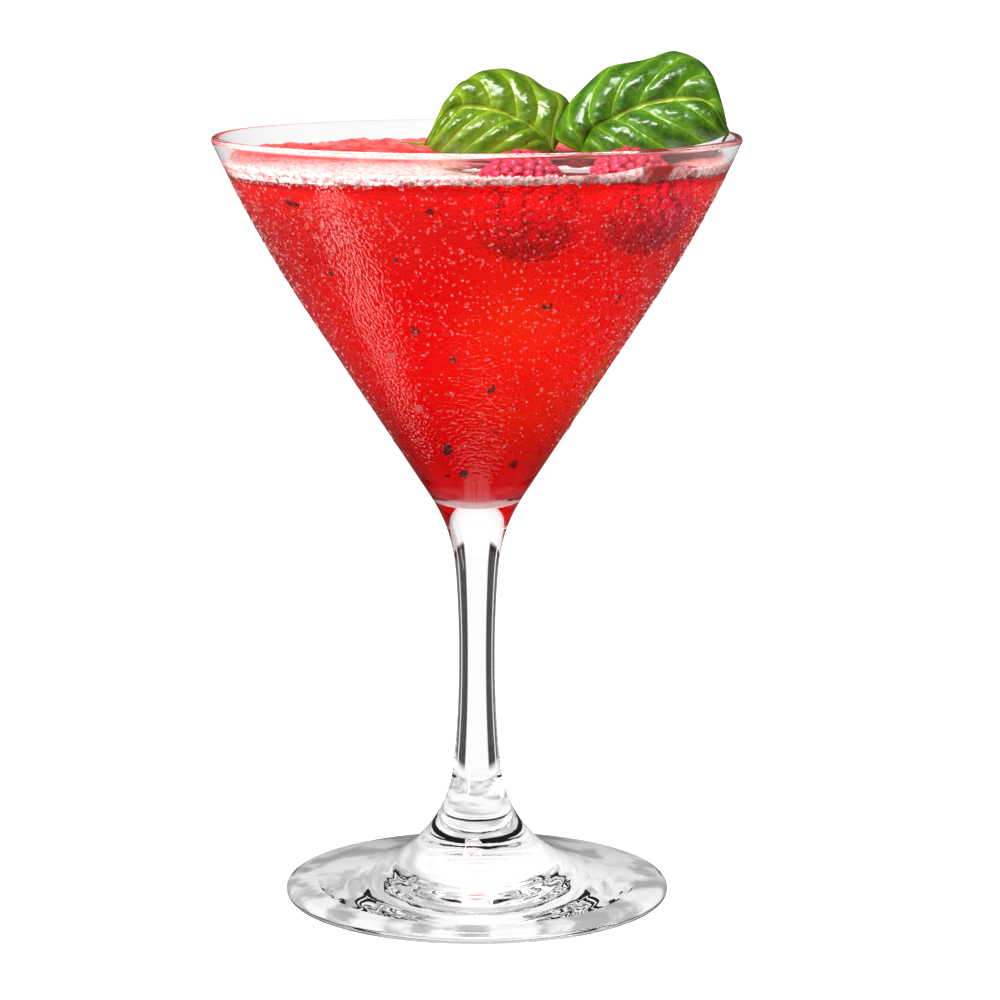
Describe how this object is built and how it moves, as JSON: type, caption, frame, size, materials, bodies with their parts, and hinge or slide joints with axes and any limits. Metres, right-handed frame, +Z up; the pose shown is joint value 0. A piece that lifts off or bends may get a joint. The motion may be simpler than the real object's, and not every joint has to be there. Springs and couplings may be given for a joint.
{
  "type": "martini cocktail in its glass",
  "caption": "Stemmed cocktail glass filled with a red fruit drink, topped with pale foam, floating raspberries and fresh basil leaves",
  "frame": {"origin": "centre of the flat ring under the foot, at the surface that the glass stands on", "axes": "+Z is up along the stem, -Y is the side that the berries and the faces of the leaves look to, +X is to the right seen from there"},
  "size_m": [0.116, 0.116, 0.1882],
  "materials": {
    "clear_glass": "clear polished glass, chilled and lightly misted on the bowl",
    "red_drink": "cloudy red fruit drink with seeds and fine bubbles",
    "pink_foam": "fine wet pale pink foam",
    "raspberry": "wet crimson drupelets",
    "basil": "glossy puckered green leaf"
  },
  "bodies": {
    "root": {"glass": "clear_glass", "drink": "red_drink", "foam": "pink_foam", "berry_left": "raspberry", "berry_right": "raspberry", "leaf_left": "basil", "leaf_right": "basil"}
  },
  "joints": []
}
